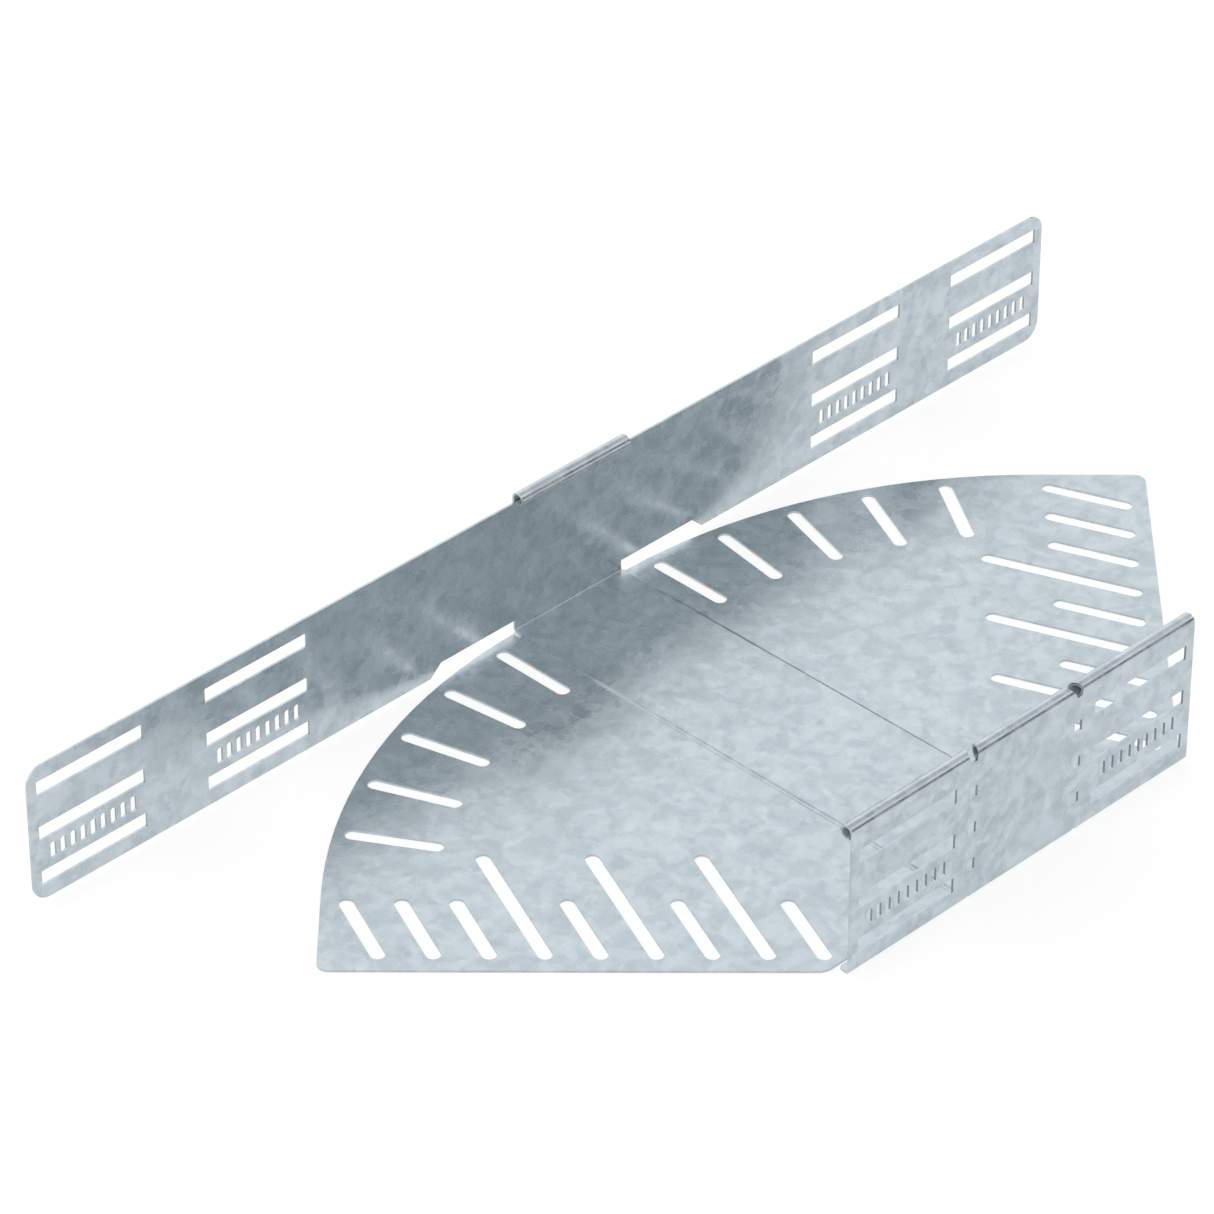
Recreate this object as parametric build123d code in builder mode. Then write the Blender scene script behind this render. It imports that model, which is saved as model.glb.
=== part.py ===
"""Adjustable horizontal bend for a perforated cable tray, cut and folded from one zinc-coated sheet.

X runs along the side rails, Y from the short inner rail to the long outer rail, Z is up.
The origin is under the middle of the bend, on the surface that the two slotted fans rest on.
All sizes are in millimetres.
"""

from build123d import *
import os
from math import acos, cos, degrees, radians, sin, tan

os.makedirs("parts", exist_ok=True)

# Sheet and folds
sheet = 1.25
bend_radius = 0.75

# Channel between the side rails
channel_width = 306.2
rail_height = 85.0
strip_half = 37.5
inner_rail_half = 119.8
outer_rail_half = 353.8

# Step down from the middle strip to each fan, one sheet deep
step_slope = 45.0
step_radius = 2.0

# Rolled top edge
roll_diameter = 7.9
roll_end_gap = 0.6

# Long flat wings of the outer rail
wing_height = 77.3
wing_clearance = 0.3
wing_corner_radius = 10.0
relief_height = 6.9
relief_half = 88.8
relief_foot_half = 96.0

# Flange under the inner rail
lip_width = 6.6
lip_corner_radius = 2.0

# Windows and notches on the two bend lines of the inner rail
bend_line_half = 36.8
bend_window_width = 5.2
bend_window_height = 6.0
bend_window_heights = (20.0, 41.3, 62.6)
lip_notch_width = 2.6
lip_notch_height = 1.6
wall_notch_top_width = 7.2
wall_notch_foot_width = 3.0
wall_notch_foot_height = 79.8
roll_gap_width = 6.4
roll_gap_lean = 22.5

# Slots and connection slits in both rails
rail_slot_length = 65.9
rail_slot_height = 8.15
rail_slot_heights = (14.05, 40.2, 66.35)
slit_width = 3.4
slit_height = 9.1
slit_corner = 0.9
slit_pitch = 6.25
slit_count = 9
slit_row_height = 27.1
wing_slot_pitch = 105.3
wing_slot_margin = 38.45
flap_slot_margin = 38.3

# Slotted fans
fan_sweep = 45.0
fan_edge_offset = 56.1
fan_rail_gap = 8.2
fan_tip_radius = 6.0
fan_inner_radius = 10.0
slot_width = 7.55
short_slot_length = 49.2
long_slot_length = 86.75
arc_slot_inset = 30.1
arc_slot_first_angle = 3.8
arc_slot_step_angle = 8.03
arc_slot_count = 5
edge_slot_pitch = 26.1
edge_slot_inset = 31.3
edge_slot_tip_distance = 20.4
edge_slot_lean = 22.5
edge_slot_is_long = (False, False, False, True, False, True, False, True, False)

# Places that follow from the sizes above
inner_face = channel_width / 2
outer_face = inner_face + sheet
rail_mid = inner_face + sheet / 2
strip_mid_height = 1.5 * sheet
fan_mid_height = 0.5 * sheet
step_start = strip_half + step_radius * tan(radians(step_slope / 2))
step_end = step_start + sheet / tan(radians(step_slope))
rail_top = sheet + rail_height
bend_mid_radius = bend_radius + sheet / 2
roll_mid_radius = (roll_diameter - sheet) / 2
roll_centre_y = rail_mid - roll_mid_radius
roll_centre_z = rail_top - roll_diameter / 2
fan_radius = channel_width - bend_radius
arc_slot_radius = fan_radius - arc_slot_inset
outer_wing_slot = outer_rail_half - wing_slot_margin
wing_slot_centres = (outer_wing_slot - wing_slot_pitch, outer_wing_slot)
flap_slot_centre = inner_rail_half - flap_slot_margin
pivot = (strip_half, -inner_face)


def rail_middle_line(foot_start):
    """Middle line of a side rail on the +Y side: flat foot, fold, wall and rolled edge."""
    fold_start = rail_mid - bend_mid_radius
    fold_end = strip_mid_height + bend_mid_radius
    end_reach = roll_mid_radius - sheet / 2 - roll_end_gap
    roll_sweep = 360 - degrees(acos(end_reach / (roll_diameter / 2)))
    Line((foot_start, strip_mid_height), (fold_start, strip_mid_height))
    CenterArc((fold_start, fold_end), bend_mid_radius, -90, 90)
    Line((rail_mid, fold_end), (rail_mid, roll_centre_z))
    CenterArc((roll_centre_y, roll_centre_z), roll_mid_radius, 0, roll_sweep)


def rail_cuts(centre_x, foot_height):
    """Three long slots and one row of slits, in a sketch that stands along the rail."""
    with Locations(*[(centre_x, foot_height + height) for height in rail_slot_heights]):
        Rectangle(rail_slot_length, rail_slot_height)
    with Locations((centre_x, foot_height + slit_row_height)):
        with GridLocations(slit_pitch, 0, slit_count, 1):
            with BuildSketch(mode=Mode.PRIVATE) as slit:
                Rectangle(slit_width, slit_height)
                chamfer(slit.vertices(), length=slit_corner)
            add(slit.sketch)


def edge_slot_centre(number, length):
    """Centre of one leaning slot on the right fan, counted from the tip of the fan."""
    sweep = radians(fan_sweep)
    lean = radians(edge_slot_lean)
    from_pivot = fan_radius - edge_slot_tip_distance - number * edge_slot_pitch
    from_axis = fan_edge_offset - edge_slot_inset
    extra = (length - short_slot_length) / 2
    x = pivot[0] + from_pivot * sin(sweep) + from_axis * cos(sweep) - extra * sin(lean)
    y = pivot[1] + from_pivot * cos(sweep) - from_axis * sin(sweep) + extra * cos(lean)
    return (x, y)


with BuildPart() as bend_sheet:
    # Strip and fans in section, one sheet apart in height
    with BuildSketch(Plane.XZ) as floor_section:
        with BuildLine():
            FilletPolyline(
                (-outer_rail_half, fan_mid_height),
                (-step_end, fan_mid_height),
                (-step_start, strip_mid_height),
                (step_start, strip_mid_height),
                (step_end, fan_mid_height),
                (outer_rail_half, fan_mid_height),
                radius=step_radius,
            )
        trace(line_width=sheet)
    extrude(amount=channel_width / 2, both=True)
    # Outline of strip and fans seen from above
    with BuildSketch() as floor_plan:
        with BuildLine():
            sweep = radians(fan_sweep)
            along = (sin(sweep), cos(sweep))
            across = (cos(sweep), -sin(sweep))
            arc_top = (strip_half, pivot[1] + fan_radius)
            arc_end = (pivot[0] + fan_radius * along[0], pivot[1] + fan_radius * along[1])
            tip = (arc_end[0] + fan_edge_offset * across[0], arc_end[1] + fan_edge_offset * across[1])
            inner_y = -inner_face + fan_rail_gap
            root_x = tip[0] + (inner_y - tip[1]) * tan(sweep)
            Line((0, inner_y), (root_x, inner_y))
            Line((root_x, inner_y), tip)
            Line(tip, arc_end)
            CenterArc(pivot, fan_radius, 90 - fan_sweep, fan_sweep)
            Line(arc_top, (0, arc_top[1]))
            Line((0, arc_top[1]), (0, inner_y))
        make_face()
        tip_corner = floor_plan.vertices().sort_by_distance(tip)[0]
        fillet(tip_corner, radius=fan_tip_radius)
        root_corner = floor_plan.vertices().sort_by_distance((root_x, inner_y))[0]
        fillet(root_corner, radius=fan_inner_radius)
        mirror(about=Plane.YZ)
    extrude(amount=rail_top, mode=Mode.INTERSECT)

    # Strip with a fold, a wall and a rolled edge on each side
    with BuildSketch(Plane.YZ) as channel_section:
        with BuildLine():
            rail_middle_line(foot_start=0)
        trace(line_width=sheet)
        mirror(about=Plane.YZ)
    extrude(amount=strip_half, both=True)

    # Inner rail with its two short flaps
    with BuildSketch(Plane.YZ) as inner_rail_section:
        with BuildLine():
            rail_middle_line(foot_start=outer_face - lip_width)
        trace(line_width=sheet)
        mirror(about=Plane.YZ, mode=Mode.REPLACE)
    extrude(amount=inner_rail_half, both=True)
    upright_edges = bend_sheet.edges(Select.LAST).filter_by(Axis.Z).group_by(Axis.X)
    lip_corners = [upright_edges[end].sort_by(Axis.Y)[-1] for end in (0, -1)]
    fillet(lip_corners, radius=lip_corner_radius)

    # Long wings of the outer rail, cut back below so that they bend over the fans
    with BuildSketch(Plane.XZ.offset(-inner_face)) as wings:
        foot = sheet + wing_clearance
        with BuildLine():
            Polyline(
                (0, foot + wing_height),
                (outer_rail_half, foot + wing_height),
                (outer_rail_half, foot),
                (relief_foot_half, foot),
                (relief_half, sheet + relief_height),
                (0, sheet + relief_height),
                close=True,
            )
        make_face()
        end_corners = wings.vertices().group_by(Axis.X)[-1]
        fillet(end_corners, radius=wing_corner_radius)
        mirror(about=Plane.YZ)
    extrude(amount=-sheet)

    # Long slots and slits in the wings
    with BuildSketch(Plane.XZ.offset(-inner_face)) as wing_cuts:
        for centre in wing_slot_centres:
            for side in (-1, 1):
                rail_cuts(side * centre, foot_height=0)
    extrude(amount=-sheet, mode=Mode.SUBTRACT)

    # The same pattern in the flaps, and the windows on the two bend lines
    with BuildSketch(Plane.XZ.offset(outer_face)) as flap_cuts:
        for side in (-1, 1):
            rail_cuts(side * flap_slot_centre, foot_height=sheet)
            with Locations(*[(side * bend_line_half, sheet + height) for height in bend_window_heights]):
                Rectangle(bend_window_width, bend_window_height)
    extrude(amount=-sheet, mode=Mode.SUBTRACT)

    # Tapered notches in the inner rail's wall, under its rolled edge
    with BuildSketch(Plane.XZ.offset(outer_face)) as wall_notches:
        for side in (-1, 1):
            with BuildLine():
                Polyline(
                    (side * bend_line_half - wall_notch_top_width / 2, rail_top),
                    (side * bend_line_half + wall_notch_top_width / 2, rail_top),
                    (side * bend_line_half + wall_notch_foot_width / 2, sheet + wall_notch_foot_height),
                    (side * bend_line_half - wall_notch_foot_width / 2, sheet + wall_notch_foot_height),
                    close=True,
                )
            make_face()
    extrude(amount=-sheet, mode=Mode.SUBTRACT)

    # Gaps in the inner rail's rolled edge, leaning towards the middle of the bend
    with BuildSketch(Plane.XY.offset(rail_top)) as roll_gaps:
        lean = tan(radians(roll_gap_lean))
        near_x = bend_line_half - sheet * lean
        far_x = bend_line_half - roll_diameter * lean
        with BuildLine():
            Polyline(
                (near_x - roll_gap_width / 2, -inner_face),
                (near_x + roll_gap_width / 2, -inner_face),
                (far_x + roll_gap_width / 2, roll_diameter - outer_face),
                (far_x - roll_gap_width / 2, roll_diameter - outer_face),
                close=True,
            )
        make_face()
        mirror(about=Plane.YZ)
    extrude(amount=-roll_diameter, mode=Mode.SUBTRACT)

    # Small notches through the flange under the inner rail
    with BuildSketch(Plane.XZ.offset(outer_face)) as lip_notches:
        with Locations((-strip_half, sheet), (strip_half, sheet)):
            Rectangle(lip_notch_width, 2 * lip_notch_height)
    extrude(amount=-lip_width, mode=Mode.SUBTRACT)

    # Slots that follow the curved edge of each fan
    with BuildSketch() as arc_slots:
        with Locations(pivot):
            for i in range(arc_slot_count):
                angle = arc_slot_first_angle + i * arc_slot_step_angle
                turn = i * arc_slot_step_angle
                with PolarLocations(arc_slot_radius, 1, start_angle=90 - angle, rotate=False):
                    SlotOverall(short_slot_length, slot_width, rotation=90 - turn)
        mirror(about=Plane.YZ)
    extrude(amount=sheet, mode=Mode.SUBTRACT)

    # Leaning slots along the straight edge of each fan
    with BuildSketch() as edge_slots:
        for i, is_long in enumerate(edge_slot_is_long):
            length = long_slot_length if is_long else short_slot_length
            with Locations(edge_slot_centre(i, length)):
                SlotOverall(length, slot_width, rotation=90 + edge_slot_lean)
        mirror(about=Plane.YZ)
    extrude(amount=sheet, mode=Mode.SUBTRACT)

bend_sheet.part.label = "bend_sheet"
export_step(bend_sheet.part, "parts/bend_sheet.step")
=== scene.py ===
"""Looks of the adjustable tray bend: one folded sheet of zinc-coated steel on a pale studio floor."""

import bpy
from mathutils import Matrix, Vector

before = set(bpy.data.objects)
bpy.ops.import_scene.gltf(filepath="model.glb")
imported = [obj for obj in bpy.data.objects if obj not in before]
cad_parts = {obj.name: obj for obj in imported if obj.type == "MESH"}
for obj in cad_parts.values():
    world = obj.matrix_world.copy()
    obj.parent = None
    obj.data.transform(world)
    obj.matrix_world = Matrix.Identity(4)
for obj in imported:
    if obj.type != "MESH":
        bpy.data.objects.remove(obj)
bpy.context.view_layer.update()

# Camera, from the photograph's own perspective
CAMERA_PLACE = (-1.7802, -1.6642, 1.7889)
CAMERA_LOOKS_ALONG = (0.5766, 0.5797, -0.5757)
CAMERA_LENS = 182.41
CAMERA_SENSOR = 36.0
CAMERA_REACH = 50.0

# Bend sheet, in metres: limits between its surfaces, for the masks of its material
INSIDE_RAILS = 0.1529
ABOVE_STRIP = 0.0028
BELOW_ROLL = 0.078
SHORT_OF_WING_END = 0.352
FLAP_END = 0.1198
NEAR_FLAP_END = 0.002

# Rolled edge: its axis, and a radius between its bore and its outside
ROLL_CENTRE_Y = 0.1504
ROLL_CENTRE_Z = 0.0823
ROLL_BORE_REACH = 0.0032

# Directions that a sheared edge faces
ALONG_RAILS = 0.85
NEARLY_LEVEL = 0.3

# Colours of the bright and dull zinc, of the sheared edges, which at the slot ends are painted shade, and of
# the painted shade in the bores of the rolled edges
ZINC_BRIGHT = (0.615, 0.690, 0.735, 1.0)
ZINC_DULL = (0.385, 0.450, 0.492, 1.0)
SHEARED_EDGE_AND_SLOT_SHADE = (0.39, 0.43, 0.455, 1.0)
ROLL_BORE_SHADE = (0.50, 0.54, 0.565, 1.0)

# Share of the sheared look that the thin edges of the fans show
FAN_EDGE_SHARE = 0.2

# Spangle: flakes per metre
BROAD_FLAKES = 95.0
SMALL_FLAKES = 200.0

# Spangle: softer shapes, each with its number per metre, its detail and its roughness
FEATHERS = (110.0, 1.5, 0.5)
SMALL_FLAKE_AREAS = (55.0, 2.0, 0.5)
SOFT_BLOTCHES = (88.0, 1.5, 0.5)
CLOUDS = (22.0, 2.0, 0.5)
GRAIN = (1400.0, 3.0, 0.7)

# Spangle: how far a flake's border wanders, in metres, and how soft each shape is
RAGGEDNESS = 0.006
FLAKE_BORDER = (0.0, 0.12)
FLAKE_CONTRAST = (0.14, 0.86)
SMALL_FLAKE_SPREAD = (0.38, 0.56)
MOST_SMALL_FLAKES = 0.9
BLOTCH_BORDER = (0.37, 0.63)
BLOTCH_TWIST = 0.7

# Middle of the levels that a texture gives
MIDDLE_LEVEL = 0.5

# Spangle: what each shape adds to the brightness, and how much duller a pale flake is
BLOTCH_SHARE = 0.30
FLAKE_SHARE = 0.42
CLOUD_SHARE = 0.16
GRAIN_SHARE = 0.24
FROSTING = 0.50

# Finish of the zinc
SHEEN_SPREAD = (0.1, 0.9)
SATIN_TO_SHINY = (0.36, 0.21)
EDGE_DULLING = 0.18
BORE_DULLING = 0.4
METAL_OUTSIDE_TO_BORE = (0.88, 0.15)
RELIEF_STRENGTH = 0.07
RELIEF_DEPTH = 0.00004

# Floor: pale in the light that it sends back, and near white with a glow as the camera sees it
FLOOR_SIZE = 12.0
FLOOR_DROP = 0.0002
FLOOR_PALE = (0.86, 0.86, 0.86, 1.0)
FLOOR_SHOWN = (0.30, 0.30, 0.30, 1.0)
FLOOR_GLOW = 0.80

# Walls and ceiling
WALL_WHITE = (1.0, 1.0, 1.0, 1.0)
CEILING_GREY = (0.60, 0.59, 0.59, 1.0)
BACK_WALL = (1.24, 1.24, 1.24, 1.0)
CEILING_EDGE = (0.66, 0.78)
BACK_WALL_EDGE = (0.36, 0.52)
BACK_WALL_TOP = (0.793, 0.812)

# Dark screen under a lamp, on the right: its edge, how it narrows upwards, and its level by height
SCREEN_EDGE = (0.02, 0.34)
SCREEN_NARROWS = (0.25, 0.50)
SCREEN_NARROWING = 0.42
LAMP_TINT = (1.03, 1.0, 0.985)
SCREEN_AND_LAMP = (
    (0.05, 1.0),
    (0.14, 0.50),
    (0.24, 0.12),
    (0.43, 0.15),
    (0.51, 0.55),
    (0.58, 1.14),
    (0.65, 1.50),
    (0.70, 1.35),
    (0.75, 0.62),
)

# Places of the nodes in the node editor
COLUMN_WIDTH = 240
ROW_HEIGHT = 320


def add_node(tree, kind, **settings):
    """One shader node with its settings."""
    node = tree.nodes.new(kind)
    for name, value in settings.items():
        setattr(node, name, value)
    return node


def lay_out(tree):
    """Nodes set out from left to right, each in a column after the nodes that feed it."""
    columns = {node.name: 0 for node in tree.nodes}
    for _ in tree.nodes:
        for link in tree.links:
            after = columns[link.from_node.name] + 1
            columns[link.to_node.name] = max(columns[link.to_node.name], after)
    filled = [0] * len(columns)
    for name, column in columns.items():
        tree.nodes[name].location = (column * COLUMN_WIDTH, -filled[column] * ROW_HEIGHT)
        filled[column] += 1


def new_group(name, inputs, outputs):
    """An empty node group with named sockets, and its input and output nodes."""
    group = bpy.data.node_groups.new(name, "ShaderNodeTree")
    for socket, kind in inputs:
        group.interface.new_socket(socket, in_out="INPUT", socket_type=kind)
    for socket, kind in outputs:
        group.interface.new_socket(socket, in_out="OUTPUT", socket_type=kind)
    way_in = add_node(group, "NodeGroupInput")
    way_out = add_node(group, "NodeGroupOutput")
    return group, way_in, way_out


def math_node(tree, operation, first, second=0.0):
    """A math node on two values, each a number or a socket."""
    node = add_node(tree, "ShaderNodeMath", operation=operation)
    for slot, value in enumerate((first, second)):
        if isinstance(value, float):
            node.inputs[slot].default_value = value
        else:
            tree.links.new(value, node.inputs[slot])
    return node.outputs[0]


def soft_step(tree, value, span, levels=(0.0, 1.0)):
    """A smooth change from one level to the other while the value goes through the span."""
    node = add_node(tree, "ShaderNodeMapRange", interpolation_type="SMOOTHSTEP")
    tree.links.new(value, node.inputs["Value"])
    for socket, number in zip(("From Min", "From Max", "To Min", "To Max"), (*span, *levels)):
        node.inputs[socket].default_value = number
    return node.outputs["Result"]


def noise(tree, vector, scale, detail, roughness):
    """A noise texture at a scale per metre."""
    node = add_node(tree, "ShaderNodeTexNoise")
    node.inputs["Scale"].default_value = scale
    node.inputs["Detail"].default_value = detail
    node.inputs["Roughness"].default_value = roughness
    tree.links.new(vector, node.inputs["Vector"])
    return node


def cells(tree, vector, scale, feature):
    """A cell texture at a scale per metre."""
    node = add_node(tree, "ShaderNodeTexVoronoi", feature=feature)
    node.inputs["Scale"].default_value = scale
    tree.links.new(vector, node.inputs["Vector"])
    return node


def between(tree, factor, first, second):
    """A value between two others."""
    node = add_node(tree, "ShaderNodeMix")
    tree.links.new(factor, node.inputs["Factor"])
    tree.links.new(first, node.inputs["A"])
    tree.links.new(second, node.inputs["B"])
    return node.outputs["Result"]


def mix_colours(tree, factor, first, second):
    """A colour between two, each a fixed colour or a socket."""
    node = add_node(tree, "ShaderNodeMix", data_type="RGBA")
    tree.links.new(factor, node.inputs["Factor"])
    for socket, colour in (("A", first), ("B", second)):
        if isinstance(colour, tuple):
            node.inputs[socket].default_value = colour
        else:
            tree.links.new(colour, node.inputs[socket])
    return node.outputs["Result"]


def flake_layer(tree, vector, scale):
    """Crystals of one size: each has its own level and its own sheen, both soft at its border."""
    flakes = cells(tree, vector, scale, "F1")
    apart = add_node(tree, "ShaderNodeSeparateColor")
    tree.links.new(flakes.outputs["Color"], apart.inputs["Color"])
    borders = cells(tree, vector, scale, "DISTANCE_TO_EDGE")
    own = soft_step(tree, borders.outputs["Distance"], FLAKE_BORDER)
    softened = []
    for channel in ("Red", "Green"):
        off_middle = math_node(tree, "SUBTRACT", apart.outputs[channel], MIDDLE_LEVEL)
        level = math_node(tree, "MULTIPLY", off_middle, own)
        softened.append(math_node(tree, "ADD", level, MIDDLE_LEVEL))
    return softened


def ragged_place(tree, place, raggedness):
    """The place, pushed about by a noise, so that the borders of flakes are feathered."""
    feathers = noise(tree, place, *FEATHERS)
    centred = add_node(tree, "ShaderNodeVectorMath", operation="SUBTRACT")
    centred.inputs[1].default_value = (MIDDLE_LEVEL, MIDDLE_LEVEL, MIDDLE_LEVEL)
    pushed = add_node(tree, "ShaderNodeVectorMath", operation="SCALE")
    moved = add_node(tree, "ShaderNodeVectorMath", operation="ADD")
    tree.links.new(feathers.outputs["Color"], centred.inputs[0])
    tree.links.new(centred.outputs[0], pushed.inputs[0])
    tree.links.new(raggedness, pushed.inputs["Scale"])
    tree.links.new(place, moved.inputs[0])
    tree.links.new(pushed.outputs[0], moved.inputs[1])
    return moved.outputs[0]


def spangle_group():
    """Zinc crystals: broad and small feathery flakes, soft blotches, clouds and a fine grain."""
    group, way_in, way_out = new_group(
        "zinc_spangle",
        [("Place", "NodeSocketVector"), ("Raggedness", "NodeSocketFloat")],
        [("Brightness", "NodeSocketFloat"), ("Sheen", "NodeSocketFloat")],
    )
    place = way_in.outputs["Place"]
    ragged = ragged_place(group, place, way_in.outputs["Raggedness"])
    broad, broad_sheen = flake_layer(group, ragged, BROAD_FLAKES)
    small, small_sheen = flake_layer(group, ragged, SMALL_FLAKES)
    areas = noise(group, place, *SMALL_FLAKE_AREAS)
    blotches = noise(group, place, *SOFT_BLOTCHES)
    blotches.inputs["Distortion"].default_value = BLOTCH_TWIST
    clouds = noise(group, place, *CLOUDS)
    grain = noise(group, place, *GRAIN)

    # Brightness is the sum of flakes, blotches, clouds and grain
    which = soft_step(group, areas.outputs["Fac"], SMALL_FLAKE_SPREAD, (0.0, MOST_SMALL_FLAKES))
    flakes = soft_step(group, between(group, which, broad, small), FLAKE_CONTRAST)
    brightness = math_node(group, "MULTIPLY", flakes, FLAKE_SHARE)
    for shape, share in (
        (soft_step(group, blotches.outputs["Fac"], BLOTCH_BORDER), BLOTCH_SHARE),
        (clouds.outputs["Fac"], CLOUD_SHARE),
        (grain.outputs["Fac"], GRAIN_SHARE),
    ):
        part = math_node(group, "MULTIPLY", shape, share)
        brightness = math_node(group, "ADD", brightness, part)
    group.links.new(brightness, way_out.inputs["Brightness"])

    # Sheen is each flake's own, and less on a pale flake
    own_sheen = between(group, which, broad_sheen, small_sheen)
    own_part = math_node(group, "MULTIPLY", own_sheen, 1.0 - FROSTING)
    frost = math_node(group, "MULTIPLY", flakes, FROSTING)
    sheen = math_node(group, "ADD", math_node(group, "SUBTRACT", own_part, frost), FROSTING)
    group.links.new(sheen, way_out.inputs["Sheen"])
    lay_out(group)
    return group


def sheared_edge_and_slot_shade_group():
    """Mask of cut edges, faint round the fans, and of painted shade, full at the ends of the slots in the
    rails.
    """
    group, way_in, way_out = new_group(
        "sheared_edges_and_slot_shade",
        [("Place", "NodeSocketVector"), ("Normal", "NodeSocketVector")],
        [("Mask", "NodeSocketFloat")],
    )
    spot = add_node(group, "ShaderNodeSeparateXYZ")
    facing = add_node(group, "ShaderNodeSeparateXYZ")
    group.links.new(way_in.outputs["Place"], spot.inputs[0])
    group.links.new(way_in.outputs["Normal"], facing.inputs[0])
    along = math_node(group, "ABSOLUTE", spot.outputs["X"])
    aside = math_node(group, "ABSOLUTE", spot.outputs["Y"])
    height = spot.outputs["Z"]

    # Fans and strip lie low between the rails
    between_rails = math_node(group, "LESS_THAN", aside, INSIDE_RAILS)
    low = math_node(group, "LESS_THAN", height, ABOVE_STRIP)
    on_fan = math_node(group, "MULTIPLY", between_rails, low)
    off_fan = math_node(group, "SUBTRACT", 1.0, on_fan)
    upward = math_node(group, "ABSOLUTE", facing.outputs["Z"])
    level = math_node(group, "LESS_THAN", upward, NEARLY_LEVEL)
    fan_edge = math_node(group, "MULTIPLY", on_fan, level)

    # Slot ends, which get painted shade, face along the rails, and so do the free ends of flaps, wings and
    # rolls, which stay bright
    sideways = math_node(group, "ABSOLUTE", facing.outputs["X"])
    across = math_node(group, "GREATER_THAN", sideways, ALONG_RAILS)
    from_flap_end = math_node(group, "ABSOLUTE", math_node(group, "SUBTRACT", along, FLAP_END))
    off_flap_end = math_node(group, "GREATER_THAN", from_flap_end, NEAR_FLAP_END)
    off_wing_end = math_node(group, "LESS_THAN", along, SHORT_OF_WING_END)
    off_roll = math_node(group, "LESS_THAN", height, BELOW_ROLL)
    slot_end_shade = across
    for mask in (off_flap_end, off_wing_end, off_roll, off_fan):
        slot_end_shade = math_node(group, "MULTIPLY", slot_end_shade, mask)

    # Faint cut edges and the painted shade at the slot ends in one mask
    faint = math_node(group, "MULTIPLY", fan_edge, FAN_EDGE_SHARE)
    group.links.new(math_node(group, "MAXIMUM", faint, slot_end_shade), way_out.inputs["Mask"])
    lay_out(group)
    return group


def roll_bore_shade_mask(tree, place):
    """Mask of the inside of both rolled edges, where shade is painted."""
    spot = add_node(tree, "ShaderNodeSeparateXYZ")
    tree.links.new(place, spot.inputs[0])
    from_middle = math_node(tree, "ABSOLUTE", spot.outputs["Y"])
    aside = math_node(tree, "SUBTRACT", from_middle, ROLL_CENTRE_Y)
    above = math_node(tree, "SUBTRACT", spot.outputs["Z"], ROLL_CENTRE_Z)
    aside_squared = math_node(tree, "MULTIPLY", aside, aside)
    above_squared = math_node(tree, "MULTIPLY", above, above)
    squared = math_node(tree, "ADD", aside_squared, above_squared)
    return math_node(tree, "LESS_THAN", squared, ROLL_BORE_REACH ** 2)


def zinc_coated_steel():
    """Sheet steel with a spangled zinc coat, its sheared edges with painted shade at the slot ends, and
    painted shade in the bores of its rolled edges.
    """
    material = bpy.data.materials.new("zinc_coated_steel")
    material.use_nodes = True
    tree = material.node_tree
    link = tree.links.new
    shader = tree.nodes["Principled BSDF"]
    place = add_node(tree, "ShaderNodeTexCoord").outputs["Object"]
    surface = add_node(tree, "ShaderNodeNewGeometry")
    spangle = add_node(tree, "ShaderNodeGroup", node_tree=spangle_group())
    spangle.inputs["Raggedness"].default_value = RAGGEDNESS
    link(place, spangle.inputs["Place"])
    edges_and_slot_shade = add_node(tree, "ShaderNodeGroup", node_tree=sheared_edge_and_slot_shade_group())
    link(place, edges_and_slot_shade.inputs["Place"])
    link(surface.outputs["Normal"], edges_and_slot_shade.inputs["Normal"])
    bore_shade = roll_bore_shade_mask(tree, place)

    # Colour, with painted shade at the slot ends and in the bores of the rolled edges
    skin = mix_colours(tree, spangle.outputs["Brightness"], ZINC_DULL, ZINC_BRIGHT)
    with_edges_and_slot_shade = mix_colours(tree, edges_and_slot_shade.outputs["Mask"], skin, SHEARED_EDGE_AND_SLOT_SHADE)
    link(mix_colours(tree, bore_shade, with_edges_and_slot_shade, ROLL_BORE_SHADE), shader.inputs["Base Color"])

    # Sheen and metal
    sheen = soft_step(tree, spangle.outputs["Sheen"], SHEEN_SPREAD, SATIN_TO_SHINY)
    worn = math_node(tree, "MULTIPLY", edges_and_slot_shade.outputs["Mask"], EDGE_DULLING)
    dull = math_node(tree, "MULTIPLY", bore_shade, BORE_DULLING)
    rough = math_node(tree, "ADD", math_node(tree, "ADD", sheen, worn), dull)
    link(rough, shader.inputs["Roughness"])
    # The bores also lose most of their metal, which deepens their painted shade
    link(soft_step(tree, bore_shade, (0.0, 1.0), METAL_OUTSIDE_TO_BORE), shader.inputs["Metallic"])

    # Fine relief of the crystals
    relief = add_node(tree, "ShaderNodeBump")
    relief.inputs["Strength"].default_value = RELIEF_STRENGTH
    relief.inputs["Distance"].default_value = RELIEF_DEPTH
    link(spangle.outputs["Brightness"], relief.inputs["Height"])
    link(relief.outputs["Normal"], shader.inputs["Normal"])
    lay_out(tree)
    return material


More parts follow.
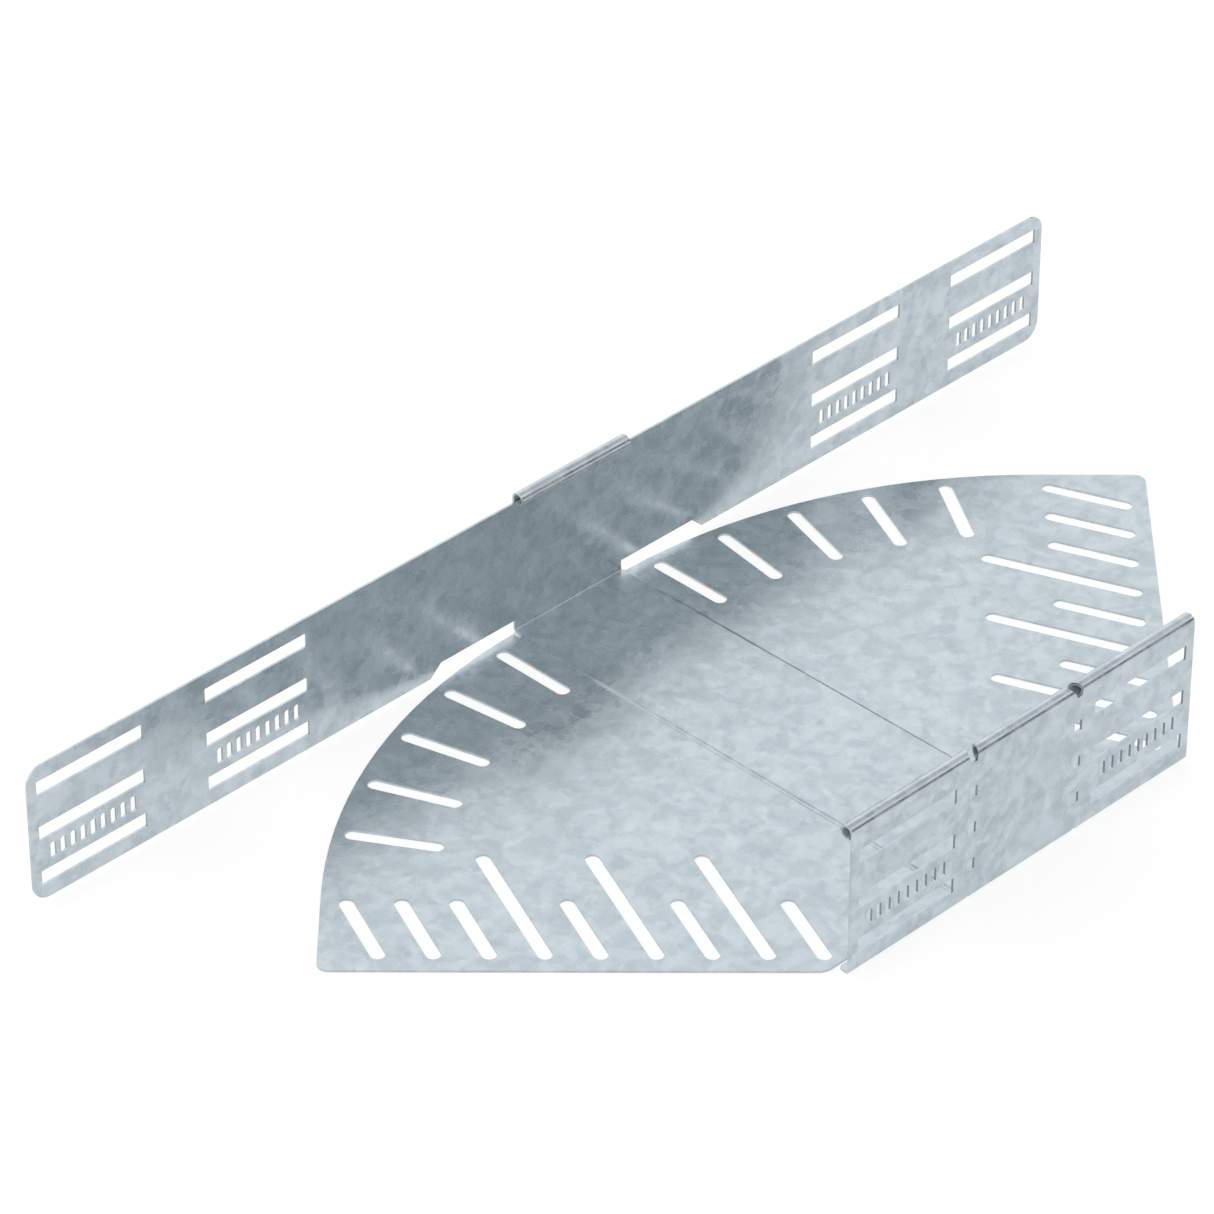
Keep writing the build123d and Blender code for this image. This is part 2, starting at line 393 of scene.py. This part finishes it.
def studio_floor():
    """Plain pale floor, shown near white and with the bend's own soft shadow."""
    bpy.ops.mesh.primitive_plane_add(size=FLOOR_SIZE, location=(0, 0, -FLOOR_DROP))
    floor = bpy.context.object
    floor.name = "studio_floor"
    material = bpy.data.materials.new("studio_floor")
    material.use_nodes = True
    tree = material.node_tree
    tree.nodes.clear()
    out = add_node(tree, "ShaderNodeOutputMaterial")
    pale = add_node(tree, "ShaderNodeBsdfDiffuse")
    pale.inputs["Color"].default_value = FLOOR_PALE
    shown = add_node(tree, "ShaderNodeBsdfDiffuse")
    shown.inputs["Color"].default_value = FLOOR_SHOWN
    glow = add_node(tree, "ShaderNodeEmission")
    glow.inputs["Strength"].default_value = FLOOR_GLOW
    lit = add_node(tree, "ShaderNodeAddShader")
    tree.links.new(shown.outputs[0], lit.inputs[0])
    tree.links.new(glow.outputs[0], lit.inputs[1])
    path = add_node(tree, "ShaderNodeLightPath")
    mirrored = math_node(tree, "MAXIMUM", path.outputs["Is Glossy Ray"], path.outputs["Is Transmission Ray"])
    seen = math_node(tree, "MAXIMUM", path.outputs["Is Camera Ray"], mirrored)
    mix = add_node(tree, "ShaderNodeMixShader")
    tree.links.new(seen, mix.inputs["Fac"])
    tree.links.new(pale.outputs[0], mix.inputs[1])
    tree.links.new(lit.outputs[0], mix.inputs[2])
    tree.links.new(mix.outputs[0], out.inputs["Surface"])
    lay_out(tree)
    floor.data.materials.append(material)


def screen_and_lamp(tree, height):
    """Colour of the right-hand wall by height: white foot, dark screen, lamp and dimmer top."""
    ramp = add_node(tree, "ShaderNodeValToRGB")
    stops = ramp.color_ramp.elements
    for number, (position, level) in enumerate(SCREEN_AND_LAMP):
        stop = stops[number] if number < len(stops) else stops.new(position)
        stop.position = position
        stop.color = (*(level * part for part in LAMP_TINT), 1.0)
    tree.links.new(height, ramp.inputs["Fac"])
    return ramp.outputs["Color"]


def studio_light():
    """Studio all round: white walls, brighter at the back, a grey ceiling, a dark screen under a lamp."""
    world = bpy.data.worlds.new("studio")
    bpy.context.scene.world = world
    world.use_nodes = True
    tree = world.node_tree
    background = tree.nodes["Background"]
    looking = add_node(tree, "ShaderNodeTexCoord")
    direction = add_node(tree, "ShaderNodeSeparateXYZ")
    tree.links.new(looking.outputs["Generated"], direction.inputs[0])
    height = direction.outputs["Z"]

    # Where the screen, the ceiling and the back wall are
    rightward = math_node(tree, "SUBTRACT", direction.outputs["X"], direction.outputs["Y"])
    narrowing = soft_step(tree, height, SCREEN_NARROWS, (0.0, SCREEN_NARROWING))
    beside = soft_step(tree, math_node(tree, "SUBTRACT", rightward, narrowing), SCREEN_EDGE)
    above = soft_step(tree, height, CEILING_EDGE)
    below_top = soft_step(tree, height, BACK_WALL_TOP, (1.0, 0.0))
    facing_back = soft_step(tree, direction.outputs["Y"], BACK_WALL_EDGE)
    behind = math_node(tree, "MULTIPLY", facing_back, below_top)

    # Their colours
    walls = mix_colours(tree, above, WALL_WHITE, CEILING_GREY)
    with_back = mix_colours(tree, behind, walls, BACK_WALL)
    around = mix_colours(tree, beside, with_back, screen_and_lamp(tree, height))
    tree.links.new(around, background.inputs["Color"])
    lay_out(tree)


def photo_camera():
    """Camera at the photograph's place and angle."""
    camera = bpy.data.cameras.new("photo_camera")
    camera.lens = CAMERA_LENS
    camera.sensor_width = CAMERA_SENSOR
    camera.clip_end = CAMERA_REACH
    holder = bpy.data.objects.new("photo_camera", camera)
    bpy.context.scene.collection.objects.link(holder)
    holder.location = CAMERA_PLACE
    holder.rotation_mode = "QUATERNION"
    holder.rotation_quaternion = Vector(CAMERA_LOOKS_ALONG).to_track_quat("-Z", "Y")
    bpy.context.scene.camera = holder


bpy.ops.object.select_all(action="DESELECT")
steel = zinc_coated_steel()
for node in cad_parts.values():
    node.data.materials.clear()
    node.data.materials.append(steel)
studio_floor()
studio_light()
photo_camera()
bpy.context.scene.view_settings.view_transform = "Standard"
